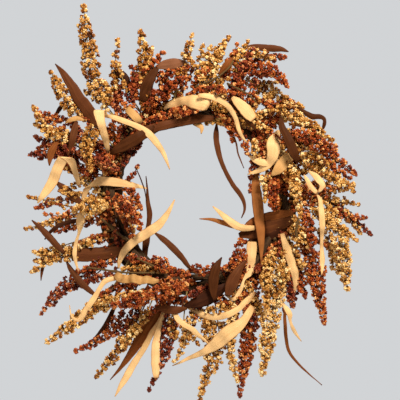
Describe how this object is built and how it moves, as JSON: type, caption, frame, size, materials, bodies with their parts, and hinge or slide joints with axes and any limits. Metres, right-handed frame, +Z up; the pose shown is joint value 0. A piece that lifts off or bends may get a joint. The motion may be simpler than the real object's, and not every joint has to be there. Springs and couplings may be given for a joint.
{
  "type": "harvest door wreath",
  "caption": "Round grapevine wreath dressed with dried seed sprays and curled corn leaves, hung on a door by a wire loop that the ring tips on.",
  "frame": {"origin": "hang point: the inner top of the wire hanging loop, where a door hook bears", "axes": "+Z up; the front of the wreath faces -Y and the door lies behind it at +Y; +X is to the right seen from the front"},
  "size_m": [0.5767, 0.1339, 0.6621],
  "materials": {
    "vine": "rough dry bark",
    "wire": "dull dark florist wire",
    "gold_seed": "dry glossy seed hulls",
    "rust_seed": "dry glossy seed hulls",
    "burgundy_seed": "dry glossy seed hulls",
    "cream_leaf": "dry ribbed leaf",
    "tan_leaf": "dry ribbed leaf",
    "brown_leaf": "dry ribbed leaf"
  },
  "bodies": {
    "hanger": {"hanging_loop": "wire"},
    "wreath": {"brown_leaf_hole": "brown_leaf", "brown_leaf_left_low": "brown_leaf", "brown_leaf_top_left": "brown_leaf", "brown_leaf_top_right": "brown_leaf", "burgundy_spray_bottom": "burgundy_seed", "burgundy_spray_left_high": "burgundy_seed", "burgundy_spray_left_low": "burgundy_seed", "burgundy_spray_right": "burgundy_seed", "cream_leaf_bottom": "cream_leaf", "cream_leaf_bottom_arc": "cream_leaf", "cream_leaf_bottom_big": "cream_leaf", "cream_leaf_bottom_long": "cream_leaf", "cream_leaf_hole_left": "cream_leaf", "cream_leaf_left": "cream_leaf", "cream_leaf_left_folded": "cream_leaf", "cream_leaf_low_inner": "cream_leaf", "cream_leaf_right": "cream_leaf", "cream_leaf_right_low": "cream_leaf", "cream_leaf_top": "cream_leaf", "cream_leaf_top_right": "cream_leaf", "cream_leaf_upper_left": "cream_leaf", "gold_spray_bottom": "gold_seed", "gold_spray_bottom_right": "gold_seed", "gold_spray_face_left": "gold_seed", "gold_spray_left": "gold_seed", "gold_spray_left_column": "gold_seed", "gold_spray_left_high": "gold_seed", "gold_spray_left_low": "gold_seed", "gold_spray_left_low_big": "gold_seed", "gold_spray_left_top": "gold_seed", "gold_spray_low_left": "gold_seed", "gold_spray_low_right": "gold_seed", "gold_spray_right": "gold_seed", "gold_spray_right_big": "gold_seed", "gold_spray_right_high": "gold_seed", "gold_spray_right_inner": "gold_seed", "gold_spray_top": "gold_seed", "gold_spray_top_centre": "gold_seed", "gold_spray_top_left": "gold_seed", "gold_spray_top_left_tall": "gold_seed", "gold_spray_top_left_thin": "gold_seed", "gold_spray_top_right": "gold_seed", "rust_spray_bottom_right": "rust_seed", "rust_spray_face_bottom": "rust_seed", "rust_spray_face_top": "rust_seed", "rust_spray_right_high": "rust_seed", "rust_spray_right_low": "rust_seed", "rust_spray_top_right": "rust_seed", "rust_spray_top_right_low": "rust_seed", "tan_leaf_right_inner": "tan_leaf", "vine_core": "vine", "vine_strand_1": "vine", "vine_strand_2": "vine", "vine_strand_3": "vine", "vine_strand_4": "vine", "vine_strand_5": "vine", "vine_tendril_1": "vine", "vine_tendril_2": "vine", "vine_tendril_3": "vine"}
  },
  "joints": [
    {"name": "wreath_tip", "type": "hinge", "parent": "hanger", "child": "wreath", "pos_m": [0, 0, -0.04811], "axis": [-1, 0, 0], "range_deg": [0, 20]}
  ]
}
